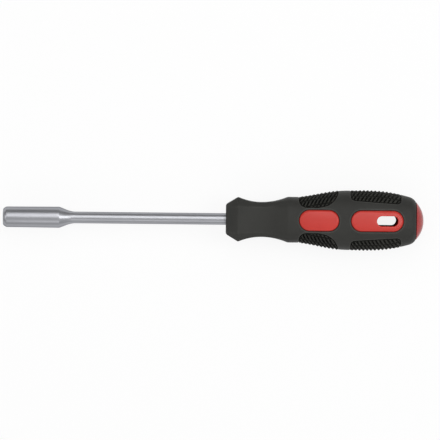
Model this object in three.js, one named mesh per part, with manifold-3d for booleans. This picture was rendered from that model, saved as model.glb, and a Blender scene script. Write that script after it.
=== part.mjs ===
// A 7 mm hex nut driver: a steel shank with a hex socket, and a moulded handle on its tang.
// Millimetres, +Z up. The tool lies along X with its socket towards -X and its windows facing +Z and -Z.
// The origin is on the tool's axis, at the centre of the socket's floor.

import * as THREE from "three";
import { mergeVertices } from "three/addons/utils/BufferGeometryUtils.js";
import Module from "manifold-3d";

// Shank
const BLADE_LENGTH = 125; // socket mouth to handle nose
const SHAFT_DIAMETER = 6.5;
const HEX_ACROSS_FLATS = 7;
const HEX_DEPTH = 16; // mouth to socket floor
const HEX_LEAD_IN = 0.3; // chamfer inside the mouth
const SOCKET_MOUTH_DIAMETER = 11.5;
const SOCKET_BASE_DIAMETER = 11.8;
const SOCKET_LENGTH = 31.5; // mouth to the start of the neck
const SOCKET_NECK_LENGTH = 9;
const NECK_SLOPE = 0.36; // fall per millimetre where the neck starts, at an edge
const MOUTH_BEVEL_LENGTH = 1.9;
const MOUTH_BEVEL_DEPTH = 1.2;
const TANG_BEVEL = 0.8;
const WING_SPAN = 9.6; // tip to tip, across the tang
const WING_THICKNESS = 2.4;
const WING_LENGTH = 8;
const WING_COUNT = 2; // pairs along the tang
const WING_SPACING = 17;
const WING_INSET = 5; // last pair to the end of the tang

// Handle: lengths of its stretches, from the nose to the butt
const NOSE_LENGTH = 6.9; // nose face to the finger ridge
const NECK_FRONT_LENGTH = 13; // ridge to the waist
const NECK_BACK_LENGTH = 14.8; // waist to the shoulder
const SHOULDER_LENGTH = 6.9;
const SWELL_LENGTH = 26.6;
const BELLY_LENGTH = 7.6;
const TAPER_LENGTH = 25.1;
const BUTT_LENGTH = 5.8;
const CAP_LENGTH = 4.3;

// Handle: full height (Y) and full depth (Z) at the ends of those stretches
const NOSE_HEIGHT = 16.5;
const RIDGE_HEIGHT = 24.9;
const WAIST_HEIGHT = 19.3;
const SHOULDER_HEIGHT = 25.6;
const BELLY_HEIGHT = 33.3;
const TAIL_HEIGHT = 27.9;
const RIM_HEIGHT = 21.2;
const NOSE_DEPTH = 15.6;
const RIDGE_DEPTH = 22.6;
const WAIST_DEPTH = 18.4;
const SHOULDER_DEPTH = 24.6;
const BELLY_DEPTH = 29;
const TAIL_DEPTH = 24.5;
const RIM_DEPTH = 18.6;
const SWELL_SLOPE = 0.12; // rise per millimetre where the swell starts, in height
const DEPTH_SWELL_SLOPE = 0.2; // the same, in depth
const TAPER_CURVE = 2.5; // power of the taper's fall: the higher, the longer it stays level
const RIM_SLOPE = 1.4; // fall per millimetre where the shell ends

// Handle: how far the eight-sided section's corners are cut back from its height
const NOSE_CORNER = 1.1;
const RIDGE_CORNER = 5.1;
const WAIST_CORNER = 2.5;
const SHOULDER_CORNER = 5.4;
const BELLY_CORNER = 8.2;
const TAIL_CORNER = 6.8;
const RIM_CORNER = 4.9;
const NOSE_ROUNDING = 0.1; // share of each flat that its corner rounding takes
const BELLY_ROUNDING = 0.92;

// Handle: walls, windows, hang slot and pads
const SHELL_WALL = 3.2;
const WINDOW_WIDTH = 11.9;
const FRONT_WINDOW_LENGTH = 22.4;
const FRONT_WINDOW_LEAD = 0.7; // front window to the start of the swell
const REAR_WINDOW_LENGTH = 29.5;
const REAR_WINDOW_SETBACK = 1.6; // start of the belly to the rear window
const DECK_RISE = 0.35; // how far a window's deck stands above the section
const SLOT_LENGTH = 11.9;
const SLOT_WIDTH = 5.7;
const SLOT_MARGIN = 3.1; // slot to the rear window's end
const TANG_TO_SLOT = 6;
const PAD_THICKNESS = 1.5;
const FRONT_PAD_REACH = 5.5; // silhouette to the front pad's inner edge, at its front end
const FRONT_PAD_BACK_REACH = 9;
const FRONT_PAD_CORNER = 5;
const FRONT_PAD_BACK_CORNER = 13.5; // a long curve out to the silhouette
const REAR_PAD_REACH = 5.1;
const REAR_PAD_CORNER = 2.8;
const REAR_PAD_TRIM = 1.5; // rear pad's end to the rear window's end
const STUD_PITCH = 2.15; // along the handle
const STUD_HALF_ROWS = 48; // rows of studs and of valleys round the section
const STUD_RISE = 0.35; // tips above the shell's surface
const STUD_SINK = 0.5; // valleys below it
const SPIGOT_DIAMETER = 7.6;
const SPIGOT_LENGTH = 6;
const GAP = 0.2; // between neighbouring pieces
const OVERSHOOT = 1; // how far a cutting tool reaches past what it cuts

// Facets
const ROUND_SIDES = 32;
const CURVE_STEPS = 6; // sections along each curved stretch
const HIDDEN_CURVE_STEPS = 3; // the same, on surfaces inside the handle
const CORNER_STEPS = 3; // facets on each rounded corner of a section
const HIDDEN_CORNER_STEPS = 2;
const STUD_CORNER_STEPS = 6; // finer, to space the studs evenly
const NECK_STEPS = 8; // rings on the socket's neck
const WELD = 1e-4;

// Stations along the handle, with the nose face at zero
const ridgeX = NOSE_LENGTH;
const waistX = ridgeX + NECK_FRONT_LENGTH;
const shoulderX = waistX + NECK_BACK_LENGTH;
const swellX = shoulderX + SHOULDER_LENGTH;
const bellyX = swellX + SWELL_LENGTH;
const taperX = bellyX + BELLY_LENGTH;
const tailX = taperX + TAPER_LENGTH;
const rimX = tailX + BUTT_LENGTH;
const buttX = rimX + CAP_LENGTH;
const mouthX = -BLADE_LENGTH;
const frontWindowX = swellX - FRONT_WINDOW_LEAD;
const frontWindow = { from: frontWindowX, to: frontWindowX + FRONT_WINDOW_LENGTH };
const rearWindowX = bellyX + REAR_WINDOW_SETBACK;
const rearWindow = { from: rearWindowX, to: rearWindowX + REAR_WINDOW_LENGTH };
const slot = { from: rearWindow.to - SLOT_MARGIN - SLOT_LENGTH, to: rearWindow.to - SLOT_MARGIN };
const tangX = slot.from - TANG_TO_SLOT;
const acrossTool = BELLY_HEIGHT + BELLY_DEPTH; // longer than any cut through the handle

const wasm = await Module();
wasm.setup();

// A closed geometry as a solid
function solidOf(geometry) {
  geometry.deleteAttribute("normal");
  geometry.deleteAttribute("uv");
  const merged = mergeVertices(geometry, WELD);
  const corners = merged.index.array;
  const triangles = [];
  for (let i = 0; i < corners.length; i += 3) {
    const [a, b, c] = corners.slice(i, i + 3);
    if (a !== b && b !== c && c !== a) triangles.push(a, b, c);
  }
  return new wasm.Manifold(new wasm.Mesh({
    numProp: 3,
    vertProperties: new Float32Array(merged.attributes.position.array),
    triVerts: new Uint32Array(triangles),
  }));
}

// A finished piece as a named mesh with its material
function piece(name, solid, material) {
  const { vertProperties, triVerts } = solid.getMesh();
  const geometry = new THREE.BufferGeometry();
  geometry.setAttribute("position", new THREE.BufferAttribute(new Float32Array(vertProperties), 3));
  geometry.setIndex(new THREE.BufferAttribute(new Uint32Array(triVerts), 1));
  geometry.computeVertexNormals();
  const mesh = new THREE.Mesh(geometry, material);
  mesh.name = name;
  return mesh;
}

// A body turned about the tool's axis, from points of (radius, x)
function turned(points) {
  const profile = points.map(([radius, x]) => new THREE.Vector2(radius, x));
  const geometry = new THREE.LatheGeometry(profile, ROUND_SIDES);
  return solidOf(geometry.rotateZ(-Math.PI / 2));
}

// A round or many-sided bar along X
function bar(diameter, from, to, sides = ROUND_SIDES) {
  const geometry = new THREE.CylinderGeometry(diameter / 2, diameter / 2, to - from, sides);
  return solidOf(geometry.rotateZ(-Math.PI / 2).translate((from + to) / 2, 0, 0));
}

// An outline in the XY plane, drawn right through the handle along Z
function throughZ(shape) {
  const options = { depth: acrossTool, bevelEnabled: false, curveSegments: CURVE_STEPS };
  const geometry = new THREE.ExtrudeGeometry(shape, options);
  return solidOf(geometry.translate(0, 0, -acrossTool / 2));
}

// A slot outline with round ends
function stadium({ from, to }, width, grow = 0) {
  const radius = width / 2 + grow;
  const left = from + width / 2;
  const right = to - width / 2;
  const shape = new THREE.Shape();
  shape.moveTo(left, -radius);
  shape.lineTo(right, -radius);
  shape.absarc(right, 0, radius, -Math.PI / 2, Math.PI / 2, false);
  shape.lineTo(left, radius);
  shape.absarc(left, 0, radius, Math.PI / 2, Math.PI * 1.5, false);
  return shape;
}

// A cubic from one height to another with given slopes at its ends
function blend(start, end, startSlope, endSlope, length, t) {
  const rise = startSlope * length * (t * t * t - 2 * t * t + t);
  const fall = endSlope * length * (t * t * t - t * t);
  return start + (end - start) * t * t * (3 - 2 * t) + rise + fall;
}

// One measure of the section along the handle, from its values at the stations
function along({ nose, ridge, waist, shoulder, belly, tail, rim }, swellSlope, rimSlope) {
  return (x) => {
    if (x <= ridgeX) return THREE.MathUtils.lerp(nose, ridge, x / NOSE_LENGTH);
    if (x <= waistX) return waist + (ridge - waist) * ((waistX - x) / NECK_FRONT_LENGTH) ** 2;
    if (x <= shoulderX) return waist + (shoulder - waist) * ((x - waistX) / NECK_BACK_LENGTH) ** 2;
    if (x <= swellX) return shoulder;
    if (x <= bellyX) return blend(shoulder, belly, swellSlope, 0, SWELL_LENGTH, (x - swellX) / SWELL_LENGTH);
    if (x <= taperX) return belly;
    if (x <= tailX) return belly - (belly - tail) * ((x - taperX) / TAPER_LENGTH) ** TAPER_CURVE;
    const tailSlope = (-TAPER_CURVE * (belly - tail)) / TAPER_LENGTH;
    return blend(tail, rim, tailSlope, rimSlope, BUTT_LENGTH, (x - tailX) / BUTT_LENGTH);
  };
}

const halfHeight = along({
  nose: NOSE_HEIGHT / 2,
  ridge: RIDGE_HEIGHT / 2,
  waist: WAIST_HEIGHT / 2,
  shoulder: SHOULDER_HEIGHT / 2,
  belly: BELLY_HEIGHT / 2,
  tail: TAIL_HEIGHT / 2,
  rim: RIM_HEIGHT / 2,
}, SWELL_SLOPE, -RIM_SLOPE);

const halfDepth = along({
  nose: NOSE_DEPTH / 2,
  ridge: RIDGE_DEPTH / 2,
  waist: WAIST_DEPTH / 2,
  shoulder: SHOULDER_DEPTH / 2,
  belly: BELLY_DEPTH / 2,
  tail: TAIL_DEPTH / 2,
  rim: RIM_DEPTH / 2,
}, DEPTH_SWELL_SLOPE, -RIM_SLOPE);

const cornerCut = along({
  nose: NOSE_CORNER,
  ridge: RIDGE_CORNER,
  waist: WAIST_CORNER,
  shoulder: SHOULDER_CORNER,
  belly: BELLY_CORNER,
  tail: TAIL_CORNER,
  rim: RIM_CORNER,
}, 0, -RIM_SLOPE / 2);

const rounding = (x) => THREE.MathUtils.lerp(
  NOSE_ROUNDING,
  BELLY_ROUNDING,
  THREE.MathUtils.smoothstep(x, waistX, swellX),
);

// One section of the handle, moved inwards by an inset: an octagon with rounded corners
function section(x, inset = 0, steps = CORNER_STEPS) {
  const height = halfHeight(x) - inset;
  const depth = halfDepth(x) - inset;
  const flatShare = 1 - cornerCut(x) / halfHeight(x);
  const corners = [
    [height, depth * flatShare],
    [height * flatShare, depth],
    [-height * flatShare, depth],
    [-height, depth * flatShare],
    [-height, -depth * flatShare],
    [-height * flatShare, -depth],
    [height * flatShare, -depth],
    [height, -depth * flatShare],
  ].map(([y, z]) => new THREE.Vector3(x, y, z));
  const share = rounding(x) / 2;
  return corners.flatMap((corner, i) => {
    const start = corner.clone().lerp(corners[(i + 7) % 8], share);
    const end = corner.clone().lerp(corners[(i + 1) % 8], share);
    return new THREE.QuadraticBezierCurve3(start, corner, end).getPoints(steps);
  });
}

// A closed body through a row of rings, with flat ends; studs turn their quads' diagonals to the tips
function loft(rings, studded = false) {
  const count = rings[0].length;
  const points = rings.flat();
  const triangles = [];
  for (let i = 0; i + 1 < rings.length; i += 1) {
    for (let j = 0; j < count; j += 1) {
      const next = (j + 1) % count;
      const [a, b, c, d] = [i * count + j, i * count + next, (i + 1) * count + next, (i + 1) * count + j];
      if (studded && (i + j) % 2 === 1) triangles.push(a, b, d, b, c, d);
      else triangles.push(a, b, c, a, c, d);
    }
  }
  const last = (rings.length - 1) * count;
  const centre = (ring) => ring.reduce((sum, p) => sum.add(p), new THREE.Vector3()).divideScalar(count);
  points.push(centre(rings[0]), centre(rings.at(-1)));
  for (let j = 0; j < count; j += 1) {
    const next = (j + 1) % count;
    triangles.push(points.length - 2, next, j);
    triangles.push(points.length - 1, last + j, last + next);
  }
  const geometry = new THREE.BufferGeometry().setFromPoints(points);
  geometry.setIndex(triangles);
  return solidOf(geometry);
}

// Where the handle's sections stand, from one place to another
function stations(from, to, steps = CURVE_STEPS) {
  const places = [0, ridgeX, shoulderX, swellX, taperX];
  const curved = [[ridgeX, waistX], [waistX, shoulderX], [swellX, bellyX], [taperX, tailX], [tailX, rimX]];
  for (const [start, end] of curved) {
    for (let i = 1; i <= steps; i += 1) places.push(start + ((end - start) * i) / steps);
  }
  const inside = [...new Set(places)].filter((x) => x > from + WELD && x < to - WELD);
  return [from, ...inside.sort((a, b) => a - b), to];
}

// The handle's outside
const outerForm = (to) => loft(stations(0, to).map((x) => section(x)));

// The handle's form moved inwards by an inset, for surfaces that end up inside it
function innerForm(inset, from, to) {
  const places = stations(from, to, HIDDEN_CURVE_STEPS);
  return loft(places.map((x) => section(x, inset, HIDDEN_CORNER_STEPS)));
}

// A body whose height follows the decks of one window, over its whole width
function deckForm({ from, to }) {
  const xs = stations(from - OVERSHOOT, to + OVERSHOOT);
  const deck = (x) => halfDepth(x) + DECK_RISE;
  const shape = new THREE.Shape();
  shape.setFromPoints([
    ...xs.map((x) => new THREE.Vector2(x, -deck(x))),
    ...xs.toReversed().map((x) => new THREE.Vector2(x, deck(x))),
  ]);
  const width = WINDOW_WIDTH + 2 * OVERSHOOT;
  const geometry = new THREE.ExtrudeGeometry(shape, { depth: width, bevelEnabled: false });
  return solidOf(geometry.translate(0, 0, -width / 2).rotateX(Math.PI / 2));
}

// The outline of a pad on the upper (side 1) or lower (side -1) edge of the handle, seen along Z
function padOutline({ from, to, fromReach, toReach, corner, backCorner }, side, shrink) {
  const left = from + shrink;
  const right = to - shrink;
  const outside = side * acrossTool;
  const leftY = side * (halfHeight(from) - fromReach + shrink);
  const rightY = side * (halfHeight(to) - toReach + shrink);
  const slope = (rightY - leftY) / (right - left);
  const shape = new THREE.Shape();
  shape.moveTo(left, outside);
  shape.lineTo(left, leftY + side * corner);
  shape.quadraticCurveTo(left, leftY, left + corner, leftY + slope * corner);
  shape.lineTo(right - backCorner, rightY - slope * backCorner);
  shape.quadraticCurveTo(right, rightY, right, rightY + side * backCorner);
  shape.lineTo(right, outside);
  return shape;
}

// Points spaced evenly round a section
function evenRing(x, inset, count) {
  const ring = section(x, inset, STUD_CORNER_STEPS);
  const path = new THREE.CurvePath();
  ring.forEach((point, i) => path.add(new THREE.LineCurve3(point, ring[(i + 1) % ring.length])));
  return Array.from({ length: count }, (_, i) => path.getPoint(i / count));
}

// The handle's form with studs in straight rows, both along it and round it
function studdedForm(from, to) {
  const step = STUD_PITCH / 2;
  const count = Math.ceil((to - from) / step) + 1;
  const rings = Array.from({ length: count }, (_, i) => {
    const tips = evenRing(from + i * step, -STUD_RISE, STUD_HALF_ROWS);
    const valleys = evenRing(from + i * step, STUD_SINK, STUD_HALF_ROWS);
    return tips.map((tip, j) => (i % 2 === 0 && j % 2 === 0 ? tip : valleys[j]));
  });
  return loft(rings, true);
}

// Materials
const steel = new THREE.MeshStandardMaterial({ color: 0xc4c6cc, roughness: 0.3, metalness: 1 });
const redPlastic = new THREE.MeshStandardMaterial({ color: 0xc8463f, roughness: 0.4, metalness: 0 });
const capPlastic = new THREE.MeshStandardMaterial({ color: 0xb84a46, roughness: 0.32, metalness: 0 });
const shellPlastic = new THREE.MeshStandardMaterial({ color: 0x3d3d3c, roughness: 0.55, metalness: 0 });
const padRubber = new THREE.MeshStandardMaterial({ color: 0x262622, roughness: 0.8, metalness: 0 });

// The tang's wings, or with a gap the pockets that hold them
function wings(gap = 0) {
  const shape = [WING_LENGTH + 2 * gap, WING_SPAN + 2 * gap, WING_THICKNESS + 2 * gap];
  const last = tangX - WING_INSET - WING_LENGTH / 2;
  const pairs = Array.from({ length: WING_COUNT }, (_, i) => {
    return solidOf(new THREE.BoxGeometry(...shape).translate(last - i * WING_SPACING, 0, 0));
  });
  return pairs.reduce((sum, pair) => sum.add(pair));
}

// Shank: hex socket, drawn-in neck, round shaft and winged tang, all one bar of steel
function makeShank() {
  const mouth = SOCKET_MOUTH_DIAMETER / 2;
  const base = SOCKET_BASE_DIAMETER / 2;
  const shaft = SHAFT_DIAMETER / 2;
  const neckX = mouthX + SOCKET_LENGTH;
  const profile = [[0, mouthX], [mouth - MOUTH_BEVEL_DEPTH, mouthX], [mouth, mouthX + MOUTH_BEVEL_LENGTH]];
  for (let i = 0; i <= NECK_STEPS; i += 1) {
    const t = i / NECK_STEPS;
    const radius = blend(base, shaft, -NECK_SLOPE, 0, SOCKET_NECK_LENGTH, t);
    profile.push([radius, neckX + SOCKET_NECK_LENGTH * t]);
  }
  profile.push([shaft, tangX - TANG_BEVEL], [shaft - TANG_BEVEL, tangX], [0, tangX]);

  const acrossCorners = HEX_ACROSS_FLATS / Math.cos(Math.PI / 6);
  const hex = bar(acrossCorners, mouthX - OVERSHOOT, mouthX + HEX_DEPTH, 6);
  const leadRadius = acrossCorners / 2 + HEX_LEAD_IN;
  const leadTip = mouthX + leadRadius;
  const leadStart = mouthX - OVERSHOOT;
  const leadIn = turned([[0, leadStart], [leadRadius + OVERSHOOT, leadStart], [0, leadTip]]);
  return turned(profile).add(wings()).subtract(hex).subtract(leadIn);
}

// Handle core: red plastic round the tang, with the window decks, the hang slot and the cap's socket
function makeCore() {
  let core = innerForm(SHELL_WALL, SHELL_WALL, rimX - GAP);
  for (const window of [frontWindow, rearWindow]) {
    core = core.add(throughZ(stadium(window, WINDOW_WIDTH)).intersect(deckForm(window)));
  }
  return core
    .subtract(bar(SHAFT_DIAMETER + 2 * GAP, 0, tangX + GAP))
    .subtract(wings(GAP))
    .subtract(throughZ(stadium(slot, SLOT_WIDTH)))
    .subtract(bar(SPIGOT_DIAMETER + 2 * GAP, rimX - SPIGOT_LENGTH - GAP, rimX + OVERSHOOT));
}

// The four pads' places: two along the upper edge and two along the lower edge
const frontPad = {
  ...frontWindow,
  fromReach: FRONT_PAD_REACH,
  toReach: FRONT_PAD_BACK_REACH,
  corner: FRONT_PAD_CORNER,
  backCorner: FRONT_PAD_BACK_CORNER,
};
const rearPad = {
  from: rearWindow.from,
  to: rearWindow.to - REAR_PAD_TRIM,
  fromReach: REAR_PAD_REACH,
  toReach: REAR_PAD_REACH,
  corner: REAR_PAD_CORNER,
  backCorner: REAR_PAD_CORNER,
};
const padPlaces = [
  { name: "upper_front_pad", place: frontPad, side: 1 },
  { name: "upper_rear_pad", place: rearPad, side: 1 },
  { name: "lower_front_pad", place: frontPad, side: -1 },
  { name: "lower_rear_pad", place: rearPad, side: -1 },
];

// Grip shell: dark plastic over the core, with openings for the windows and pockets for the pads
function makeShell() {
  let shell = outerForm(rimX - GAP)
    .subtract(innerForm(SHELL_WALL - GAP, SHELL_WALL - GAP, rimX))
    .subtract(bar(SHAFT_DIAMETER + 2 * GAP, -OVERSHOOT, SHELL_WALL));
  for (const window of [frontWindow, rearWindow]) {
    shell = shell.subtract(throughZ(stadium(window, WINDOW_WIDTH, GAP)));
  }
  const pocketFloor = innerForm(PAD_THICKNESS + GAP, 0, rimX);
  for (const { place, side } of padPlaces) {
    shell = shell.subtract(throughZ(padOutline(place, side, 0)).subtract(pocketFloor));
  }
  return shell;
}

// Pads: soft studded inlays, one in each pocket of the shell
function makePads() {
  const floor = innerForm(PAD_THICKNESS, 0, rimX);
  return padPlaces.map(({ name, place, side }) => {
    const studs = studdedForm(place.from - OVERSHOOT, place.to + OVERSHOOT);
    const pad = throughZ(padOutline(place, side, GAP)).intersect(studs).subtract(floor);
    return piece(name, pad, padRubber);
  });
}

// End cap: a low dome that carries on the shell's outline, on a spigot in the core
function makeCap() {
  const rim = RIM_HEIGHT / 2;
  const radius = (rim ** 2 + CAP_LENGTH ** 2) / (2 * CAP_LENGTH);
  const rings = Array.from({ length: CURVE_STEPS }, (_, i) => {
    const climb = CAP_LENGTH * Math.sin((Math.PI / 2) * (i / CURVE_STEPS));
    const share = Math.sqrt(radius ** 2 - (radius - CAP_LENGTH + climb) ** 2) / rim;
    const shrink = new THREE.Vector3(0, share, share);
    return section(rimX).map((point) => point.multiply(shrink).setX(rimX + climb));
  });
  rings.push(rings.at(-1).map(() => new THREE.Vector3(buttX, 0, 0)));
  return loft(rings).add(bar(SPIGOT_DIAMETER, rimX - SPIGOT_LENGTH, rimX + CAP_LENGTH / 2));
}

const tool = new THREE.Group();
tool.position.x = BLADE_LENGTH - HEX_DEPTH;
tool.add(piece("shank", makeShank(), steel));
tool.add(piece("handle_core", makeCore(), redPlastic));
tool.add(piece("grip_shell", makeShell(), shellPlastic));
tool.add(...makePads());
tool.add(piece("end_cap", makeCap(), capPlastic));

const nutDriver = new THREE.Group();
nutDriver.add(tool);

export default nutDriver;
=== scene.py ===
"""A 7 mm hex nut driver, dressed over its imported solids.

Metres, in the part's own frame: the tool lies along X with its socket towards -X, its windows face
+Z and -Z, and the camera looks down on it from +Z.
"""

import math
import bmesh
import bpy
import numpy as np
from mathutils import Matrix, Vector


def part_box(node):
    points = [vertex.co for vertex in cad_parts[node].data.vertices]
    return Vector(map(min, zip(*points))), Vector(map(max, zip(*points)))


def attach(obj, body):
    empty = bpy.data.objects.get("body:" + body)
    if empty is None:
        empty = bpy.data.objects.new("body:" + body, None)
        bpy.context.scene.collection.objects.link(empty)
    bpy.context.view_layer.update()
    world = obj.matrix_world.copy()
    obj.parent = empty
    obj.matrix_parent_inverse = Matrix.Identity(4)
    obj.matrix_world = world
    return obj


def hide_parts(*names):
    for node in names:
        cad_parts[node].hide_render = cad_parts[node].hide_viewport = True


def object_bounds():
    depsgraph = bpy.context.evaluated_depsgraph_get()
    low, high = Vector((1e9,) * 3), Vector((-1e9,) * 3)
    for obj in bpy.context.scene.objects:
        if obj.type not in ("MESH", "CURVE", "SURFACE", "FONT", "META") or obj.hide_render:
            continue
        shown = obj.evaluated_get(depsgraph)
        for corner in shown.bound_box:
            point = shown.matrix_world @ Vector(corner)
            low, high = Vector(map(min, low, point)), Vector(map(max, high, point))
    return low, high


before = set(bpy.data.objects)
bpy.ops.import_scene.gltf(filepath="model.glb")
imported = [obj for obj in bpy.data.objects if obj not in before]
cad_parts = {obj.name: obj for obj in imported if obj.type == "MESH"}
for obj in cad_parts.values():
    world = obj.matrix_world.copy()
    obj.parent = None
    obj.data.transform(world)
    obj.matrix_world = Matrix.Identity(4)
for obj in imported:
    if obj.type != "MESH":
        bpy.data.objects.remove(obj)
cad_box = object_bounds()

# Places taken from the solids
MOUTH_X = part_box("shank")[0].x
NOSE_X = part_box("grip_shell")[0].x
BUTT_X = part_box("end_cap")[1].x
FLOOR_Z = cad_box[0].z

# Shank
SHAFT_RADIUS = 0.00325
HEX_APOTHEM = 0.0035
HEX_DEPTH = 0.016  # mouth to socket floor
HEX_LEAD_IN = 0.0003  # chamfer inside the mouth
SOCKET_MOUTH_RADIUS = 0.00575
SOCKET_BASE_RADIUS = 0.0059
SOCKET_LENGTH = 0.0315  # mouth to the start of the neck
SOCKET_NECK_LENGTH = 0.009
NECK_SLOPE = 0.36  # fall per metre where the neck starts, at an edge
MOUTH_BEVEL_LENGTH = 0.0019
MOUTH_BEVEL_DEPTH = 0.0012
MOUTH_BEVEL_CURVE = 1.3  # power of the bevel's climb: 1 is straight
MOUTH_ROUND = 0.0002  # width of the broken edge between the mouth's face and its bevel
MOUTH_ROUND_LENGTH = MOUTH_ROUND / 3
TANG_BEVEL = 0.0008
TANG_TO_SLOT = 0.006
WING_HALF_SPAN = 0.0048
WING_HALF_THICKNESS = 0.0012
WING_HALF_LENGTH = 0.004
WING_EASE = 0.0012  # length over which the round bar flattens into wings
WING_SPACING = 0.017
WING_INSET = 0.005  # last pair of wings to the end of the tang

# Handle: lengths of its stretches, from the nose to the cap
NOSE_LENGTH = 0.0069
NECK_FRONT_LENGTH = 0.013
NECK_BACK_LENGTH = 0.0148
SHOULDER_LENGTH = 0.0069
SWELL_LENGTH = 0.0266
BELLY_LENGTH = 0.0076
TAPER_LENGTH = 0.0251
BUTT_LENGTH = 0.0058

# Handle: stations, as distances from the nose face
RIDGE = NOSE_LENGTH
WAIST = RIDGE + NECK_FRONT_LENGTH
SHOULDER = WAIST + NECK_BACK_LENGTH
SWELL = SHOULDER + SHOULDER_LENGTH
BELLY = SWELL + SWELL_LENGTH
TAPER = BELLY + BELLY_LENGTH
TAIL = TAPER + TAPER_LENGTH
RIM = TAIL + BUTT_LENGTH
BUTT = BUTT_X - NOSE_X
CAP_LENGTH = BUTT - RIM

# Handle: half height (Y), half depth (Z) and corner cut of its section at the stations
HALF_HEIGHTS = dict(nose=0.00825, ridge=0.01245, waist=0.00965, shoulder=0.0128,
                    belly=0.01665, tail=0.01395, rim=0.0106)
HALF_DEPTHS = dict(nose=0.0078, ridge=0.0113, waist=0.0092, shoulder=0.0123,
                   belly=0.0145, tail=0.01225, rim=0.0093)
CORNER_CUTS = dict(nose=0.0011, ridge=0.0051, waist=0.0025, shoulder=0.0054,
                   belly=0.0082, tail=0.0068, rim=0.0049)
HEIGHT_SWELL_SLOPE = 0.12  # rise per metre where the swell starts, in half height
DEPTH_SWELL_SLOPE = 0.2  # the same, in half depth
RIM_SLOPE = 1.4  # fall per metre where the shell ends
TAPER_CURVE = 2.5  # power of the taper's fall: the higher, the longer it stays level
NOSE_ROUNDING = 0.1  # share of each flat that its corner rounding takes, as far back as the waist
BELLY_ROUNDING = 0.92  # the same, from the swell on
CREASE_REACH = 0.0005  # how far a crease between two stretches is softened, each way

# Handle: shell, windows and hang slot
SHELL_WALL = 0.0032
GAP = 0.0002  # between neighbouring pieces
SEAM = 0.0001  # between a window's deck and the shell round it
NOSE_FILLET = 0.0009
NOSE_DISH = 0.0003  # how far the nose face sinks towards the shaft
RIM_FILLET = 0.0003
WINDOW_RADIUS = 0.00595
WINDOW_LIP = 0.0003  # radius of the shell's lip round a window
FRONT_WINDOW_LEAD = 0.0007  # front window to the start of the swell
FRONT_WINDOW_LENGTH = 0.0224
FRONT_WINDOW_START = SWELL - FRONT_WINDOW_LEAD
FRONT_WINDOW = (FRONT_WINDOW_START, FRONT_WINDOW_START + FRONT_WINDOW_LENGTH)
REAR_WINDOW_SETBACK = 0.0016  # start of the belly to the rear window
REAR_WINDOW_LENGTH = 0.0295
REAR_WINDOW_START = BELLY + REAR_WINDOW_SETBACK
REAR_WINDOW = (REAR_WINDOW_START, REAR_WINDOW_START + REAR_WINDOW_LENGTH)
DECK_RISE = 0.00035  # how far a window's deck stands above the section
DECK_ROUND = 0.0013  # radius of a deck's outer edge
SLOT_RADIUS = 0.00285
SLOT_ROUND = 0.0004  # radius of the slot's edge
SLOT_LENGTH = 0.0119
SLOT_MARGIN = 0.0031  # slot to the rear window's end
SLOT_END = REAR_WINDOW[1] - SLOT_MARGIN
SLOT = (SLOT_END - SLOT_LENGTH, SLOT_END)
TANG_END = SLOT[0] - TANG_TO_SLOT

# Handle: cap spigot
SPIGOT_RADIUS = 0.0038
SPIGOT_LENGTH = 0.006
SPIGOT_BEVEL = 0.0005

# Pads: each pair of values is for the front and the back end
REAR_PAD_TRIM = 0.0015  # rear pad's end to the rear window's end
FRONT_PAD = dict(
    ends=FRONT_WINDOW,
    reaches=(0.0055, 0.009),  # silhouette to the inner edge
    corners=(0.005, 0.0135),  # length over which the inner edge turns out to the silhouette
    fades=(0.014, 0.001),  # length over which the studs on the silhouette grow
)
REAR_PAD = dict(
    ends=(REAR_WINDOW[0], REAR_WINDOW[1] - REAR_PAD_TRIM),
    reaches=(0.0051, 0.0051),
    corners=(0.0028, 0.0028),
    fades=(0.007, 0.009),
)
PAD_THICKNESS = 0.0015
PAD_LIP = 0.0004  # radius of the shell's lip round a pad
PAD_BORDER = -0.0001  # level of a pad's border against the shell's surface
POCKET_WALL = 0.0004  # run of a pocket's sloping wall
STUD_PITCH = 0.00215  # along the handle
STUD_ROW = 0.0041  # round the section
STUD_LEAN = 0.55  # how far a rib leans along the handle for each metre round the section
STUD_STRAIGHT = 0.004  # ribs run straight this far from the silhouette
STUD_CROWN = 1.2  # above 1, the studs' tips are flat
STUD_CUT = 2.2  # steepness of the cuts that part a rib into studs
STUD_RISE = 0.00035  # tips above the shell's surface
STUD_SINK = 0.0006  # valleys below it
STUD_FADE = 0.0003  # run over which studs fade into the border
STUD_LEAST = 0.1  # share of rise and sink that is left on the silhouette at a pad's ends
STUD_EDGE = 0.002  # half width of the band on the silhouette that fades so, blended over as much again

# Mesh steps: greatest length between rings
BARREL_STEP = 0.0004
TANG_STEP = 0.0008
PLAIN_STEP = 0.0006  # shell, from its nose to near the front window
DETAIL_STEP = 0.00036  # shell, past windows and pads
TAIL_STEP = 0.0005  # shell, behind them
DETAIL_LEAD = 0.003  # start of the finer rings to the start of the swell
DETAIL_TRAIL = 0.002  # end of the rear window to the end of the finer rings
CORE_STEP = 0.002
HIDDEN_STEP = 0.003  # shell, inside

# Mesh steps: counts and tolerances
SHANK_SIDES = 96
ARC_STEPS = 28  # on each rounded corner of a section
FLAT_STEPS = 6  # on each flat of a section
ROUND_STEPS = 24  # on each round end of a window or slot
STRAIGHT_STEPS = 30  # on each straight side of a window or slot
BEVEL_POINTS = 7
NECK_POINTS = 25
FILLET_POINTS = 7
DISH_POINTS = 8
DECK_POINTS = 12
CORNER_POINTS = 13
CAP_POINTS = 24
STUD_STEPS = 10  # in each pitch, and in each half row
STUD_HALF_ROWS = 10  # more than a pad holds on each side of the silhouette
STATION_DIGITS = 7  # places in metres to which the stations of a pad's rings are rounded
SLOPE_STEP = 0.000075  # half the length over which the slope of a pad's edge is taken
WELD = 1e-7
CREASE_ANGLE = math.radians(38)

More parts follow.
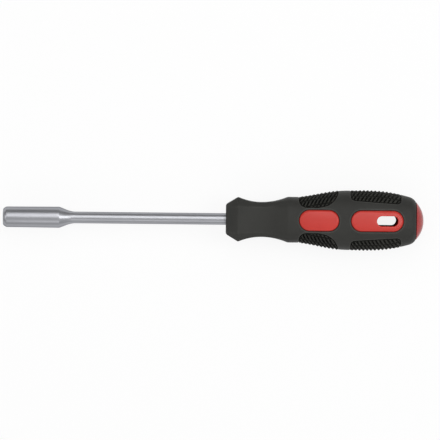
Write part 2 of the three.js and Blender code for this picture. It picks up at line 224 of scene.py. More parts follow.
# Finishes
RED_FINISH = dict(
    low=(0.485, 0.025, 0.017),  # darkest colour of the clouding
    high=(0.535, 0.031, 0.021),  # and its lightest
    roughness=0.35,
    specular=0.45,
    grain_scale=2600.0,  # cycles per metre
    grain_strength=0.08,
    painted_seam_shade=dict(distance=0.016, start=0.45, end=0.72),  # reach and range of the painted shade in seams and recesses such as the hang slot
    edge_highlight=1.1,  # greatest factor of the painted highlight on edges
)
CAP_FINISH = dict(
    low=(0.32, 0.016, 0.014),
    high=(0.365, 0.020, 0.018),
    roughness=0.2,
    specular=0.5,
    grain_scale=2600.0,
    grain_strength=0.05,
    painted_seam_shade=dict(distance=0.0006, start=0.5, end=0.9),
    edge_highlight=1.0,
)
GREY_FINISH = dict(
    low=(0.0232, 0.0232, 0.0206),
    high=(0.0284, 0.0284, 0.0252),
    roughness=0.6,
    specular=0.28,
    grain_scale=4200.0,
    grain_strength=0.25,
    painted_seam_shade=dict(distance=0.0006, start=0.5, end=0.9),
    edge_highlight=1.8,
)
SMOOTHER = 0.05  # how far a plastic's roughness falls below its middle
ROUGHER = 0.07  # and rises above it
SEAM_SHADE = 0.5  # share of a plastic's colour that the painted shade leaves deep in a seam
GRAIN_DEPTH = 0.00004
STEEL_LOW = (0.38, 0.385, 0.41)
STEEL_HIGH = (0.42, 0.425, 0.45)
STEEL_TINT = (0.34, 0.34, 0.36, 1)
STEEL_LINES = (8000, 200, 200)  # cycles per metre along X, Y and Z
STEEL_MARKS = (160, 700, 700)  # the same
STEEL_LINE_DEPTH = 0.00003
# rubber colour deep in the painted shade of its valleys, and where nothing shades it
RUBBER_IN_PAINTED_SHADE = (0.002, 0.002, 0.0018)
RUBBER_OPEN = (0.029, 0.029, 0.0245)
NOISE_LOW = 0.3  # noise keeps mostly between these values
NOISE_HIGH = 0.7

# Studio: lights aim at the tool's middle, tilted from straight up and turned from +X, in degrees
LIGHTS = dict(
    key=dict(tilt=23, turn=90, distance=0.7, size=(0.45, 0.5), radiance=1.85),
    end_light=dict(tilt=38, turn=8, distance=0.8, size=(0.34, 0.5), radiance=3.1),
    mouth_light=dict(tilt=52, turn=180, distance=0.8, size=(0.4, 0.3), radiance=1.7),
    near_fill=dict(tilt=48, turn=-90, distance=0.8, size=(0.5, 0.3), radiance=0.65),
)
WHITE = (1, 1, 1, 1)
FLOOR_COLOUR = (0.9, 0.9, 0.9, 1)
FLOOR_HALF_SIZE = 3.0
FLOOR_GLOW = 0.88  # share of plain white in the floor as it is seen
SKY_NEAR = 0.8  # brightness towards -Y
SKY_FAR = 0.38  # and towards +Y
SKY_LOW = 0.55  # share of that at the horizon
SKY_CLEAR = 0.7  # height, on a unit sphere, from which the share is whole

# Camera
SENSOR_WIDTH = 36.0  # in millimetres
VIEW_ANGLE = math.radians(7.441)
CAMERA_DISTANCE = 1.9
CAMERA_LEAN = math.radians(-1.65)
CAMERA_ROLL = math.radians(0.6)
TARGET_AHEAD = 0.00326  # target to the nose face
TARGET_SIDE = -0.0006


# Handle form

def smoothstep(t):
    t = np.clip(t, 0.0, 1.0)
    return t * t * (3 - 2 * t)


def blend(start, end, start_slope, end_slope, length, t):
    """A cubic from one height to another with given slopes at its ends."""
    rise = start_slope * length * (t ** 3 - 2 * t ** 2 + t)
    fall = end_slope * length * (t ** 3 - t ** 2)
    return start + (end - start) * t * t * (3 - 2 * t) + rise + fall


def along(at, swell_slope, rim_slope):
    """One measure of the section as a function of the distance from the nose."""
    def measure(u):
        if u <= RIDGE:
            return at["nose"] + (at["ridge"] - at["nose"]) * u / RIDGE
        if u <= WAIST:
            return at["waist"] + (at["ridge"] - at["waist"]) * ((WAIST - u) / (WAIST - RIDGE)) ** 2
        if u <= SHOULDER:
            return at["waist"] + (at["shoulder"] - at["waist"]) * ((u - WAIST) / (SHOULDER - WAIST)) ** 2
        if u <= SWELL:
            return at["shoulder"]
        if u <= BELLY:
            t = (u - SWELL) / (BELLY - SWELL)
            return blend(at["shoulder"], at["belly"], swell_slope, 0, BELLY - SWELL, t)
        if u <= TAPER:
            return at["belly"]
        if u <= TAIL:
            return at["belly"] - (at["belly"] - at["tail"]) * ((u - TAPER) / (TAIL - TAPER)) ** TAPER_CURVE
        tail_slope = -TAPER_CURVE * (at["belly"] - at["tail"]) / (TAIL - TAPER)
        return blend(at["tail"], at["rim"], tail_slope, rim_slope, RIM - TAIL, (u - TAIL) / (RIM - TAIL))

    def softened(u):
        reach = max(0.0, min(CREASE_REACH, RIM - u))
        return (measure(u - reach) + 2 * measure(u) + measure(u + reach)) / 4

    return softened


half_height = along(HALF_HEIGHTS, HEIGHT_SWELL_SLOPE, -RIM_SLOPE)
half_depth = along(HALF_DEPTHS, DEPTH_SWELL_SLOPE, -RIM_SLOPE)
corner_cut = along(CORNER_CUTS, 0.0, -RIM_SLOPE / 2)


def rounding(u):
    """Share of each flat that its corner rounding takes."""
    return NOSE_ROUNDING + (BELLY_ROUNDING - NOSE_ROUNDING) * smoothstep((u - WAIST) / (SWELL - WAIST))


def section(u, inset=0.0):
    """One section, moved inwards by an inset: an octagon with rounded corners, as (y, z) points."""
    height = half_height(u) - inset
    depth = half_depth(u) - inset
    share = 1 - corner_cut(u) / half_height(u)
    upper = [
        (height, depth * share),
        (height * share, depth),
        (-height * share, depth),
        (-height, depth * share),
    ]
    corners = np.array(upper + [(-y, -z) for y, z in upper])
    cut = rounding(u) / 2
    start = corners + (np.roll(corners, 1, axis=0) - corners) * cut
    end = corners + (np.roll(corners, -1, axis=0) - corners) * cut
    t = np.linspace(0, 1, ARC_STEPS, endpoint=False)[None, :, None]
    arcs = (1 - t) ** 2 * start[:, None] + 2 * t * (1 - t) * corners[:, None] + t ** 2 * end[:, None]
    t = np.linspace(0, 1, FLAT_STEPS, endpoint=False)[None, :, None]
    flats = end[:, None] + (np.roll(start, -1, axis=0) - end)[:, None] * t
    return np.concatenate([arcs, flats], axis=1).reshape(-1, 2)


def outward(points):
    """Unit normals of a closed outline that runs from +Y towards +Z."""
    tangent = np.roll(points, -1, axis=0) - np.roll(points, 1, axis=0)
    normal = np.column_stack([tangent[:, 1], -tangent[:, 0]])
    return normal / np.linalg.norm(normal, axis=1, keepdims=True)


def quarter(u):
    """The section from its side (z = 0) to its front (y = 0), with normals and the length along it."""
    points = section(u)
    normals = outward(points)
    keep = np.arange(len(points)) < 2 * (ARC_STEPS + FLAT_STEPS)
    keep &= points[:, 0] > 0
    points = np.vstack([[half_height(u), 0], points[keep], [0, half_depth(u)]])
    normals = np.vstack([[1, 0], normals[keep], [0, 1]])
    steps = np.linalg.norm(np.diff(points, axis=0), axis=1)
    return points, normals, np.concatenate([[0], np.cumsum(steps)])


def circle_like(points, radius):
    """A circle whose points lie in the same directions as those of an outline."""
    return points / np.linalg.norm(points, axis=1, keepdims=True) * radius


def placed(u, points):
    """A ring of the handle at a distance from the nose, in the part's frame."""
    return np.column_stack([np.full(len(points), NOSE_X + u), points])


def spaced(start, end, step):
    """Even places from start to end, no further apart than a step."""
    return np.linspace(start, end, max(2, math.ceil((end - start) / step) + 1))


# Meshes

def skin(name, rings, looped=False):
    """A closed mesh through rings of equal length; points that coincide are welded."""
    count = len(rings[0])
    total = len(rings)
    row = np.arange(total if looped else total - 1)[:, None]
    column = np.arange(count)[None, :]
    beside = (column + 1) % count
    below = (row + 1) % total
    corners = [row * count + column, row * count + beside, below * count + beside, below * count + column]
    faces = np.stack(corners, axis=-1).reshape(-1, 4)
    mesh = bpy.data.meshes.new(name)
    mesh.from_pydata(np.concatenate(rings).tolist(), [], faces.tolist())
    work = bmesh.new()
    work.from_mesh(mesh)
    bmesh.ops.remove_doubles(work, verts=work.verts, dist=WELD)
    work.to_mesh(mesh)
    work.free()
    piece = bpy.data.objects.new(name, mesh)
    bpy.context.scene.collection.objects.link(piece)
    return piece


def combine(piece, other, operation):
    """Joins another mesh to a piece or cuts it out, and removes the other mesh."""
    modifier = piece.modifiers.new("combine", "BOOLEAN")
    modifier.object = other
    modifier.operation = operation
    modifier.solver = "EXACT"
    graph = bpy.context.evaluated_depsgraph_get()
    mesh = bpy.data.meshes.new_from_object(piece.evaluated_get(graph))
    piece.modifiers.clear()
    piece.data = mesh
    bpy.data.objects.remove(other)


def dress(piece, node, material, creased=True):
    """Shades a piece, gives it its material, and lets it stand for its solid."""
    piece.data.materials.clear()
    piece.data.materials.append(material)
    piece.data.shade_smooth()
    if creased:
        piece.data.set_sharp_from_angle(angle=CREASE_ANGLE)
    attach(piece, "root")
    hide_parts(node)


# Windows, slot and pads, seen along Z

def stadium_distance(u, y, ends, radius):
    """Distance from a slot outline with round ends, negative inside it."""
    beyond = np.maximum(np.maximum(ends[0] + radius - u, u - ends[1] + radius), 0)
    return np.hypot(beyond, y) - radius


def stadium_outline():
    """Places round a slot: share of the way along its middle line, and direction from that line."""
    turn = np.linspace(-math.pi / 2, math.pi / 2, ROUND_STEPS, endpoint=False)
    run = np.linspace(0, 1, STRAIGHT_STEPS, endpoint=False)
    share = np.concatenate([np.ones(ROUND_STEPS), 1 - run, np.zeros(ROUND_STEPS), run])
    half_turn = np.full(STRAIGHT_STEPS, math.pi / 2)
    angle = np.concatenate([turn, half_turn, turn + math.pi, half_turn + math.pi])
    return share, np.column_stack([np.cos(angle), np.sin(angle)])


def stadium_points(ends, radius, inwards=0.0):
    """Points (u, y) of a slot outline, moved inwards."""
    share, direction = stadium_outline()
    middle = ends[0] + radius + (ends[1] - ends[0] - 2 * radius) * share
    points = direction * (radius - inwards)
    return np.column_stack([middle + points[:, 0], points[:, 1]])


def stadium_prism(name, ends, radius, grow):
    """A slot outline, grown and drawn right through the handle, to cut with."""
    points = stadium_points(ends, radius, -grow)
    centre = np.tile([sum(ends) / 2, 0.0], (len(points), 1))
    reach = 2 * HALF_HEIGHTS["belly"]
    levels = [(centre, -reach), (points, -reach), (points, reach), (centre, reach)]
    return skin(name, [np.column_stack([NOSE_X + p[:, 0], p[:, 1], np.full(len(p), z)]) for p, z in levels])


def pad_edge(pad, u):
    """Height of a pad's inner edge, which curves out to its two ends."""
    start, end = pad["ends"]
    u = min(max(u, start), end)
    share = (u - start) / (end - start)
    start_edge = half_height(start) - pad["reaches"][0]
    end_edge = half_height(end) - pad["reaches"][1]
    front, back = pad["corners"]
    start_turn = front * (1 - math.sqrt(min(1, (u - start) / front))) ** 2
    end_turn = back * (1 - math.sqrt(min(1, (end - u) / back))) ** 2
    return start_edge + (end_edge - start_edge) * share + start_turn + end_turn


def pad_distance(u, y, pad):
    """Distance from a pad's outline, about to scale near it and negative inside it."""
    start, end = pad["ends"]
    slope = (pad_edge(pad, u + SLOPE_STEP) - pad_edge(pad, u - SLOPE_STEP)) / (2 * SLOPE_STEP)
    across = (pad_edge(pad, u) - np.abs(y)) / math.hypot(1, slope)
    return np.maximum(across, max(start - u, u - end))


def lip_drop(distance, radius):
    """How far a rounded lip falls away towards an edge."""
    run = np.clip(radius - distance, 0, radius)
    return radius - np.sqrt(radius ** 2 - run ** 2)


def shell_drop(u, y):
    """How far the shell's surface lies under the plain form: window lips and pad pockets."""
    drop = np.zeros(len(y))
    for window in (FRONT_WINDOW, REAR_WINDOW):
        drop += lip_drop(stadium_distance(u, y, window, WINDOW_RADIUS), WINDOW_LIP)
    for pad in (FRONT_PAD, REAR_PAD):
        distance = pad_distance(u, y, pad)
        wall = np.clip(-distance / POCKET_WALL, 0, 1)
        drop += lip_drop(distance, PAD_LIP) + wall * (PAD_THICKNESS + GAP - PAD_LIP)
    return drop


# Grip shell

def shell_outside(back):
    """The shell's outer rings: its nose fillet, then its skin with lips and pockets."""
    rings = []
    for angle in np.linspace(0, math.pi / 2, FILLET_POINTS)[:-1]:
        u = NOSE_FILLET * (1 - math.cos(angle))
        rings.append(placed(u, section(u, NOSE_FILLET * (1 - math.sin(angle)))))
    detail_start = SWELL - DETAIL_LEAD
    detail_end = REAR_WINDOW[1] + DETAIL_TRAIL
    plain = spaced(NOSE_FILLET, detail_start, PLAIN_STEP)
    detailed = spaced(detail_start, detail_end, DETAIL_STEP)
    tail = spaced(detail_end, back - RIM_FILLET, TAIL_STEP)
    for u in np.concatenate([plain, detailed[1:], tail[1:]]):
        points = section(u)
        rings.append(placed(u, points - outward(points) * shell_drop(u, points[:, 0])[:, None]))
    rings.append(placed(back, section(back, RIM_FILLET)))
    return rings


def shell_inside(back):
    """The shell's inner rings: its hollow, the hole for the shaft and its dished nose face."""
    inner_wall = SHELL_WALL - GAP
    rings = []
    for u in spaced(inner_wall, back, HIDDEN_STEP)[::-1]:
        rings.append(placed(u, section(u, inner_wall)))
    hole = SHAFT_RADIUS + GAP
    rings.append(placed(inner_wall, circle_like(section(inner_wall), hole)))
    face = section(0, NOSE_FILLET)
    bore = circle_like(face, hole)
    for t in np.linspace(0, 1, DISH_POINTS)[:-1]:
        rings.append(placed(NOSE_DISH * (1 - t) ** 2, bore + (face - bore) * t))
    return rings


def make_shell():
    """Grip shell: hollow, with a filleted nose, rounded window lips and pockets for the pads."""
    back = RIM - GAP
    shell = skin("grey_grip", shell_outside(back) + shell_inside(back), looped=True)
    for name, window in (("front_cut", FRONT_WINDOW), ("rear_cut", REAR_WINDOW)):
        combine(shell, stadium_prism(name, window, WINDOW_RADIUS, SEAM), "DIFFERENCE")
    return shell


# Handle core

def deck_height(u, y):
    """Height of a window's deck, which follows the crown of the handle."""
    points = quarter(u)[0]
    return np.interp(-abs(y), -points[:, 0], points[:, 1]) + DECK_RISE


def deck_ring(outline, drop, side):
    """An outline laid on the front or back deck, or a drop below it."""
    heights = np.array([deck_height(u, y) for u, y in outline]) - drop
    return np.column_stack([NOSE_X + outline[:, 0], outline[:, 1], side * heights])


def rounded_edge(radius):
    """Steps round a quarter edge, from its wall to its top: (inwards, drop)."""
    turn = np.linspace(0, math.pi / 2, FILLET_POINTS)
    return [(radius * (1 - math.cos(a)), radius * (1 - math.sin(a))) for a in turn]


def deck_face(window, side, slotted):
    """Rings of one deck, from the wall at its rim to its middle line or to the slot's wall."""
    rings = []
    for inwards, drop in rounded_edge(DECK_ROUND):
        rings.append(deck_ring(stadium_points(window, WINDOW_RADIUS, inwards), drop, side))
    rim = stadium_points(window, WINDOW_RADIUS, DECK_ROUND)
    middle = stadium_points(window, WINDOW_RADIUS, WINDOW_RADIUS)
    if slotted:
        middle = stadium_points(SLOT, SLOT_RADIUS, -SLOT_ROUND)
    for t in np.linspace(0, 1, DECK_POINTS)[1:]:
        rings.append(deck_ring(rim + (middle - rim) * t, 0.0, side))
    if slotted:
        for inwards, drop in rounded_edge(SLOT_ROUND)[-2::-1]:
            rings.append(deck_ring(stadium_points(SLOT, SLOT_RADIUS, -inwards), drop, side))
    return rings


def make_window_block(name, window, slotted):
    """The part of the core that fills one window, from its front deck to its back deck."""
    front = deck_face(window, 1, slotted)
    back = deck_face(window, -1, slotted)
    return skin(name, back[::-1] + front, looped=slotted)


def wing_share(u):
    """How much of the tang's section is flattened into wings, from 0 to 1."""
    last = TANG_END - WING_INSET - WING_HALF_LENGTH
    nearest = min(abs(u - last), abs(u - last + WING_SPACING))
    return 1 - smoothstep((nearest - WING_HALF_LENGTH + WING_EASE) / WING_EASE)


def tang_section(u, directions, grow=0.0):
    """The tang's section: round, or flattened where it has wings."""
    share = wing_share(u)
    half_span = SHAFT_RADIUS + (WING_HALF_SPAN - SHAFT_RADIUS) * share + grow
    half_thickness = SHAFT_RADIUS + (WING_HALF_THICKNESS - SHAFT_RADIUS) * share + grow
    return directions * [half_span, half_thickness]


def make_core():
    """Handle core: red plastic round the tang, with its window decks, hang slot and cap socket."""
    front = SHELL_WALL
    back = RIM - GAP
    tang_floor = TANG_END + GAP
    spigot_floor = RIM - SPIGOT_LENGTH - GAP
    directions = circle_like(section(front), 1.0)
    rings = [placed(tang_floor, directions * 0)]
    for u in spaced(front, tang_floor, TANG_STEP)[::-1]:
        rings.append(placed(u, tang_section(u, directions, GAP)))
    for u in spaced(front, back, CORE_STEP):
        rings.append(placed(u, section(u, SHELL_WALL)))
    for u in (back, spigot_floor):
        rings.append(placed(u, directions * (SPIGOT_RADIUS + GAP)))
    rings.append(placed(spigot_floor, directions * 0))
    core = skin("red_core", rings)
    combine(core, stadium_prism("slot_cut", SLOT, SLOT_RADIUS, SLOT_ROUND / 2), "DIFFERENCE")
    combine(core, make_window_block("front_block", FRONT_WINDOW, False), "UNION")
    combine(core, make_window_block("rear_block", REAR_WINDOW, True), "UNION")
    return core


# Pads

def from_nearest(value):
    """Distance from the nearest whole number, as a share of the greatest such distance."""
    return 2 * np.abs(value - np.round(value))


def stud_height(u, place):
    """Ribs over the silhouette, leaning beyond it and cut into studs: 0 in valleys to 1 at tips."""
    lean = STUD_LEAN * np.maximum(np.abs(place) - STUD_STRAIGHT, 0)
    rib = from_nearest((u + lean) / STUD_PITCH)
    cut = from_nearest(place / STUD_ROW + 0.5)
    return np.clip(STUD_CROWN * np.minimum(1 - rib, STUD_CUT * cut), 0, 1)


def pad_level(u, place, margin, grown):
    """Height of a pad's top above the shell's surface, with studs inside a plain border."""
    edge = 1 - smoothstep((np.abs(place) - STUD_EDGE) / STUD_EDGE)
    share = 1 - (1 - STUD_LEAST) * (1 - grown) * edge
    studs = share * (stud_height(u, place) * (STUD_RISE + STUD_SINK) - STUD_SINK)
    return PAD_BORDER + (studs - PAD_BORDER) * smoothstep(margin / STUD_FADE)


def pad_stations(start, end, corners):
    """Where a pad's rings stand: closer towards its ends, and in step with its studs."""
    front, back = [corner * np.linspace(0, 1, CORNER_POINTS) ** 2 for corner in corners]
    lattice = np.arange(math.ceil(start / STUD_PITCH * STUD_STEPS), end / STUD_PITCH * STUD_STEPS)
    stations = np.concatenate([start + front, end - back, lattice * STUD_PITCH / STUD_STEPS])
    return np.unique(np.round(stations, STATION_DIGITS))


def unfolded(place, lengths, values):
    """Values of a quarter section at places along it, mirrored for places on its back."""
    mirror = np.column_stack([np.ones(len(place)), np.where(place < 0, -1, 1)])
    return np.column_stack([np.interp(np.abs(place), lengths, values[:, k]) for k in (0, 1)]) * mirror


def make_pad(name, pad, side):
    """One soft pad: studs on a band that wraps round the handle's edge."""
    start = pad["ends"][0] + GAP
    end = pad["ends"][1] - GAP
    half_count = STUD_HALF_ROWS * STUD_STEPS
    rows = np.arange(-half_count, half_count + 1) * STUD_ROW / STUD_STEPS / 2
    rings = []
    for u in pad_stations(start, end, pad["corners"]):
        points, normals, lengths = quarter(u)
        reach = np.interp(-pad_edge(pad, u) - GAP, -points[:, 0], lengths)
        place = np.clip(rows, -reach, reach)
        surface = unfolded(place, lengths, points)
        normal = unfolded(place, lengths, normals)
        margin = np.minimum(reach - np.abs(place), min(u - start, end - u))
        grown = smoothstep((u - start) / pad["fades"][0]) * smoothstep((end - u) / pad["fades"][1])
        top = surface + normal * pad_level(u, place, margin, grown)[:, None]
        bottom = surface - normal * PAD_THICKNESS
        ring = np.vstack([top, bottom[::-1]]) * [side, 1]
        rings.append(placed(u, ring[::side]))
    # Each end closes on a line midway between its top and its bottom
    for end_ring, at in ((rings[0], 0), (rings[-1], len(rings) + 1)):
        middle = (end_ring + end_ring[::-1]) / 2
        rings.insert(at, middle)
    return skin(name, rings)


# End cap

def make_cap():
    """End cap: a low dome that carries on the shell's outline, on a spigot."""
    rim = HALF_HEIGHTS["rim"]
    radius = (rim ** 2 + CAP_LENGTH ** 2) / (2 * CAP_LENGTH)
    outline = section(RIM)
    directions = circle_like(outline, 1.0)
    inner = RIM - SPIGOT_LENGTH
    edge = RIM_FILLET / 2
    rings = [
        placed(inner, directions * 0),
        placed(inner, directions * (SPIGOT_RADIUS - SPIGOT_BEVEL)),
        placed(inner + SPIGOT_BEVEL, directions * SPIGOT_RADIUS),
        placed(RIM, directions * SPIGOT_RADIUS),
        placed(RIM, outline * (1 - RIM_FILLET / rim)),
    ]
    for angle in np.linspace(0, math.pi / 2, CAP_POINTS):
        climb = edge + (CAP_LENGTH - edge) * math.sin(angle)
        share = math.sqrt(max(0.0, radius ** 2 - (radius - CAP_LENGTH + climb) ** 2)) / rim
        rings.append(placed(RIM + climb, outline * share))
    return skin("red_cap", rings)


# Shank

SHANK_ANGLES = np.arange(SHANK_SIDES) * 2 * math.pi / SHANK_SIDES
SHANK_DIRECTIONS = np.column_stack([np.cos(SHANK_ANGLES), np.sin(SHANK_ANGLES)])


def shank_ring(x, radius):
    """A ring of the shank; its place and its radius may differ from point to point."""
    count = np.ones(SHANK_SIDES)
    return np.column_stack([x * count, SHANK_DIRECTIONS * (radius * count)[:, None]])


def hex_rings():
    """The inside of the socket, from the middle of its floor to the rim of its lead-in."""
    sixth = math.pi / 3
    from_flat = (SHANK_ANGLES + sixth / 2) % sixth - sixth / 2
    hex_radius = HEX_APOTHEM / np.cos(from_flat)
    lead_radius = HEX_APOTHEM / math.cos(sixth / 2) + HEX_LEAD_IN
    floor = MOUTH_X + HEX_DEPTH
    return [
        shank_ring(floor, 0.0),
        shank_ring(floor, hex_radius),
        shank_ring(MOUTH_X + lead_radius - hex_radius, hex_radius),
        shank_ring(MOUTH_X, lead_radius),
    ]


def socket_rings(neck):
    """The outside of the socket: its bevelled mouth and its barrel, up to the neck."""
    bevel_start = SOCKET_MOUTH_RADIUS - MOUTH_BEVEL_DEPTH
    rings = [
        shank_ring(MOUTH_X, bevel_start - MOUTH_ROUND),
        shank_ring(MOUTH_X + MOUTH_ROUND_LENGTH, bevel_start),
    ]
    for t in np.linspace(0, 1, BEVEL_POINTS)[1:]:
        climb = 1 - (1 - t) ** MOUTH_BEVEL_CURVE
        rings.append(shank_ring(MOUTH_X + MOUTH_BEVEL_LENGTH * t, bevel_start + MOUTH_BEVEL_DEPTH * climb))
    barrel = spaced(MOUTH_X + MOUTH_BEVEL_LENGTH, neck, BARREL_STEP)[1:-1]
    for x, t in zip(barrel, np.linspace(0, 1, len(barrel))):
        rings.append(shank_ring(x, SOCKET_MOUTH_RADIUS + (SOCKET_BASE_RADIUS - SOCKET_MOUTH_RADIUS) * t))
    return rings


def make_shank():
    """Shank: hex socket with a lead-in, drawn-in neck, round shaft and winged tang."""
    neck = MOUTH_X + SOCKET_LENGTH
    rings = hex_rings() + socket_rings(neck)
    for t in np.linspace(0, 1, NECK_POINTS):
        radius = blend(SOCKET_BASE_RADIUS, SHAFT_RADIUS, -NECK_SLOPE, 0, SOCKET_NECK_LENGTH, t)
        rings.append(shank_ring(neck + SOCKET_NECK_LENGTH * t, radius))
    for u in spaced(neck + SOCKET_NECK_LENGTH - NOSE_X, TANG_END - TANG_BEVEL, TANG_STEP)[1:]:
        rings.append(placed(u, tang_section(u, SHANK_DIRECTIONS)))
    rings.append(placed(TANG_END, SHANK_DIRECTIONS * (SHAFT_RADIUS - TANG_BEVEL)))
    rings.append(placed(TANG_END, SHANK_DIRECTIONS * 0))
    return skin("steel_shank", rings)


# Shader nodes

def add_node(tree, kind, inputs, **settings):
    """Adds a node; each input is a value or another node's output."""
    made = tree.nodes.new(kind)
    for name, value in settings.items():
        setattr(made, name, value)
    for name, value in inputs.items():
        if isinstance(value, bpy.types.NodeSocket):
            tree.links.new(value, made.inputs[name])
        else:
            made.inputs[name].default_value = value
    return made


def start_material(name):
    """A material with an empty node tree."""
    material = bpy.data.materials.new(name)
    material.use_nodes = True
    tree = material.node_tree
    tree.nodes.clear()
    return material, tree


def finish_material(tree, inputs):
    shader = add_node(tree, "ShaderNodeBsdfPrincipled", inputs)
    add_node(tree, "ShaderNodeOutputMaterial", {"Surface": shader.outputs["BSDF"]})


def own_place(tree):
    """Places in the piece's own coordinates, which are the part's."""
    return add_node(tree, "ShaderNodeTexCoord", {}).outputs["Object"]


def stretched(tree, place, factors):
    inputs = {0: place, 1: factors}
    return add_node(tree, "ShaderNodeVectorMath", inputs, operation="MULTIPLY").outputs["Vector"]


def scaled(tree, colour, share):
    inputs = {0: colour, "Scale": share}
    return add_node(tree, "ShaderNodeVectorMath", inputs, operation="SCALE").outputs["Vector"]


def reckoned(tree, operation, first, second):
    return add_node(tree, "ShaderNodeMath", {0: first, 1: second}, operation=operation).outputs[0]


def noise(tree, place, scale, detail):
    inputs = {"Vector": place, "Scale": scale, "Detail": detail}
    return add_node(tree, "ShaderNodeTexNoise", inputs).outputs["Fac"]


def ranged(tree, value, low, high, start=NOISE_LOW, end=NOISE_HIGH):
    """Runs from low to high as a value runs from start to end."""
    inputs = {"Value": value, "From Min": start, "From Max": end, "To Min": low, "To Max": high}
    return add_node(tree, "ShaderNodeMapRange", inputs).outputs["Result"]


def tinted(tree, value, low, high, start=NOISE_LOW, end=NOISE_HIGH):
    """Runs from one colour to another as a value runs from start to end."""
    ramp = add_node(tree, "ShaderNodeValToRGB", {"Fac": value})
    first, second = ramp.color_ramp.elements
    first.position = start
    first.color = (*low, 1)
    second.position = end
    second.color = (*high, 1)
    return ramp.outputs["Color"]


def bumped(tree, height, strength, distance, under=None):
    inputs = {"Height": height, "Strength": strength, "Distance": distance}
    if under is not None:
        inputs["Normal"] = under
    return add_node(tree, "ShaderNodeBump", inputs).outputs["Normal"]


def unshaded(tree, distance, inside=False):
    """How little a place is hemmed in within a distance, outside the surface or inside it."""
    inputs = {"Distance": distance}
    return add_node(tree, "ShaderNodeAmbientOcclusion", inputs, inside=inside).outputs["AO"]


def openness(tree, distance, start, end):
    """How open a place is, from 0 deep in seams and valleys to 1."""
    return ranged(tree, unshaded(tree, distance), low=0.0, high=1.0, start=start, end=end)


def painted_edge_highlight(tree, most):
    """Painted highlight on convex edges, as a factor: 1 on faces and by seams, rising to most on free
    edges.
    """
    inside = unshaded(tree, distance=0.001, inside=True)
    sharp = ranged(tree, inside, low=1.0, high=0.0, start=0.86, end=0.98)
    free = openness(tree, distance=0.002, start=0.93, end=0.99)
    return ranged(tree, reckoned(tree, "MULTIPLY", sharp, free), low=1.0, high=most, start=0.0, end=1.0)


# Materials

def steel_material():
    """Satin steel: ground round the bar, with fine lines and a few soft marks."""
    material, tree = start_material("satin_steel")
    place = own_place(tree)
    lines = noise(tree, stretched(tree, place, STEEL_LINES), scale=1.0, detail=2.0)
    marks = noise(tree, stretched(tree, place, STEEL_MARKS), scale=1.0, detail=5.0)
    cloud = noise(tree, place, scale=55.0, detail=4.0)
    finish_material(tree, {
        "Base Color": tinted(tree, cloud, STEEL_LOW, STEEL_HIGH),
        "Metallic": 1.0,
        "Specular Tint": STEEL_TINT,
        "Roughness": ranged(tree, marks, low=0.31, high=0.36),
        "Normal": bumped(tree, lines, strength=0.14, distance=STEEL_LINE_DEPTH),
    })
    return material


def plastic_material(name, low, high, roughness, specular, grain_scale, grain_strength, painted_seam_shade, edge_highlight):
    """Moulded plastic: fine spark-eroded grain, faint clouding, uneven gloss, a painted highlight on its
    edges and painted shade in its seams and recesses.
    """
    material, tree = start_material(name)
    place = own_place(tree)
    cloud = noise(tree, place, scale=70.0, detail=4.0)
    grain = noise(tree, place, scale=grain_scale, detail=2.0)
    ripple = noise(tree, place, scale=320.0, detail=2.0)
    waves = bumped(tree, ripple, strength=0.04, distance=0.0003)
    clear = openness(tree, **painted_seam_shade)
    # painted highlight: the colour is made paler on convex edges
    with_painted_light = scaled(tree, tinted(tree, cloud, low, high), painted_edge_highlight(tree, edge_highlight))
    finish_material(tree, {
        # painted shade: the colour darkens where the surface is hemmed in, in seams and recesses, and the
        # gloss fades there too
        "Base Color": scaled(tree, with_painted_light, ranged(tree, clear, low=SEAM_SHADE, high=1.0, start=0.0, end=1.0)),
        "Roughness": ranged(tree, grain, low=roughness - SMOOTHER, high=roughness + ROUGHER),
        "Specular IOR Level": ranged(tree, clear, low=0.0, high=specular, start=0.0, end=1.0),
        "Normal": bumped(tree, grain, strength=grain_strength, distance=GRAIN_DEPTH, under=waves),
    })
    return material


def rubber_material():
    """Soft black rubber: painted shade darkens the valleys between its studs and leaves their tips paler,
    with a patchy tone.
    """
    material, tree = start_material("black_rubber")
    place = own_place(tree)
    grain = noise(tree, place, scale=5200.0, detail=2.0)
    patch = noise(tree, place, scale=240.0, detail=3.0)
    # painted shade: how hemmed in a place is among the studs sets how dark it is, times a random patchy
    # tone
    painted_valley_shade = openness(tree, distance=0.0016, start=0.6, end=0.95)
    with_painted_light = reckoned(tree, "MULTIPLY", painted_valley_shade, ranged(tree, patch, low=0.7, high=1.0))
    finish_material(tree, {
        "Base Color": tinted(tree, with_painted_light, RUBBER_IN_PAINTED_SHADE, RUBBER_OPEN, start=0.05, end=0.95),
        "Roughness": ranged(tree, grain, low=0.66, high=0.8),
        "Specular IOR Level": ranged(tree, with_painted_light, low=0.02, high=0.3, start=0.0, end=1.0),
        "Normal": bumped(tree, grain, strength=0.3, distance=GRAIN_DEPTH),
    })
    return material


def floor_material():
    """Mostly plain white to the camera and in mirrors, and matt to every other ray."""
    material, tree = start_material("floor_white")
    path = add_node(tree, "ShaderNodeLightPath", {}).outputs
    seen = reckoned(tree, "MAXIMUM", path["Is Camera Ray"], path["Is Glossy Ray"])
    seen = reckoned(tree, "MAXIMUM", seen, path["Is Transmission Ray"])
    share = reckoned(tree, "MULTIPLY", seen, FLOOR_GLOW)
    matt = add_node(tree, "ShaderNodeBsdfDiffuse", {"Color": FLOOR_COLOUR}).outputs["BSDF"]
    glow = add_node(tree, "ShaderNodeEmission", {"Color": WHITE, "Strength": 1.0}).outputs["Emission"]
    mixed = add_node(tree, "ShaderNodeMixShader", {0: share, 1: matt, 2: glow})
    add_node(tree, "ShaderNodeOutputMaterial", {"Surface": mixed.outputs["Shader"]})
    return material


# Studio

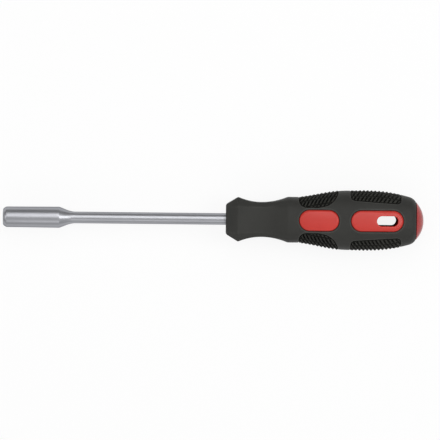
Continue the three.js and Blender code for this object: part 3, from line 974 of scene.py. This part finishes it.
def make_floor():
    """A plain pale floor that reads as white and still keeps the tool's shadow."""
    mesh = bpy.data.meshes.new("floor")
    half = FLOOR_HALF_SIZE
    corners = [(-half, -half, 0), (half, -half, 0), (half, half, 0), (-half, half, 0)]
    mesh.from_pydata(corners, [], [(0, 1, 2, 3)])
    mesh.materials.append(floor_material())
    floor = bpy.data.objects.new("floor", mesh)
    floor.location.z = FLOOR_Z
    bpy.context.scene.collection.objects.link(floor)


def make_softbox(name, tilt, turn, distance, size, radiance):
    """A soft light that is aimed at the tool's middle and isn't seen itself."""
    tilt = math.radians(tilt)
    turn = math.radians(turn)
    light = bpy.data.lights.new(name, "AREA")
    light.shape = "RECTANGLE"
    light.size, light.size_y = size
    light.energy = radiance * math.pi * size[0] * size[1]
    lamp = bpy.data.objects.new(name, light)
    aim = Vector(((MOUTH_X + BUTT_X) / 2, 0, 0))
    away = Vector((math.sin(tilt) * math.cos(turn), math.sin(tilt) * math.sin(turn), math.cos(tilt)))
    lamp.location = aim + away * distance
    across = Vector((-math.sin(turn), math.cos(turn), 0))
    lamp.rotation_euler = Matrix((across, away.cross(across), away)).transposed().to_euler()
    lamp.visible_camera = False
    bpy.context.scene.collection.objects.link(lamp)


def make_world():
    """A pale studio, darker towards +Y and low down."""
    world = bpy.data.worlds.new("studio")
    bpy.context.scene.world = world
    world.use_nodes = True
    tree = world.node_tree
    tree.nodes.clear()
    place = add_node(tree, "ShaderNodeTexCoord", {}).outputs["Generated"]
    parts = add_node(tree, "ShaderNodeSeparateXYZ", {"Vector": place}).outputs
    across = ranged(tree, parts["Y"], low=SKY_NEAR, high=SKY_FAR, start=-1.0, end=1.0)
    upwards = ranged(tree, parts["Z"], low=SKY_LOW, high=1.0, start=0.0, end=SKY_CLEAR)
    level = reckoned(tree, "MULTIPLY", across, upwards)
    sky = add_node(tree, "ShaderNodeBackground", {"Color": WHITE, "Strength": level})
    add_node(tree, "ShaderNodeOutputWorld", {"Surface": sky.outputs["Background"]})


def make_camera():
    """A long lens over the tool, leaning a little towards +Y."""
    camera = bpy.data.cameras.new("camera")
    camera.sensor_width = SENSOR_WIDTH
    camera.angle = VIEW_ANGLE
    holder = bpy.data.objects.new("camera", camera)
    target = Matrix.Translation((NOSE_X - TARGET_AHEAD, TARGET_SIDE, 0))
    lean = Matrix.Rotation(CAMERA_LEAN, 4, "X")
    rise = Matrix.Translation((0, 0, CAMERA_DISTANCE))
    roll = Matrix.Rotation(CAMERA_ROLL, 4, "Z")
    holder.matrix_world = target @ lean @ rise @ roll
    bpy.context.scene.collection.objects.link(holder)
    bpy.context.scene.camera = holder


# Assembly

steel = steel_material()
red = plastic_material("red_plastic", **RED_FINISH)
cap_red = plastic_material("cap_plastic", **CAP_FINISH)
grey = plastic_material("grey_plastic", **GREY_FINISH)
rubber = rubber_material()

dress(make_shank(), "shank", steel)
dress(make_core(), "handle_core", red)
dress(make_shell(), "grip_shell", grey)
for height, side in (("upper", 1), ("lower", -1)):
    for end, pad in (("front", FRONT_PAD), ("rear", REAR_PAD)):
        piece = make_pad(f"{height}_{end}_studs", pad, side)
        dress(piece, f"{height}_{end}_pad", rubber, creased=False)
dress(make_cap(), "end_cap", cap_red)

make_floor()
for name, settings in LIGHTS.items():
    make_softbox(name, **settings)
make_world()
make_camera()
bpy.context.scene.view_settings.view_transform = "Standard"
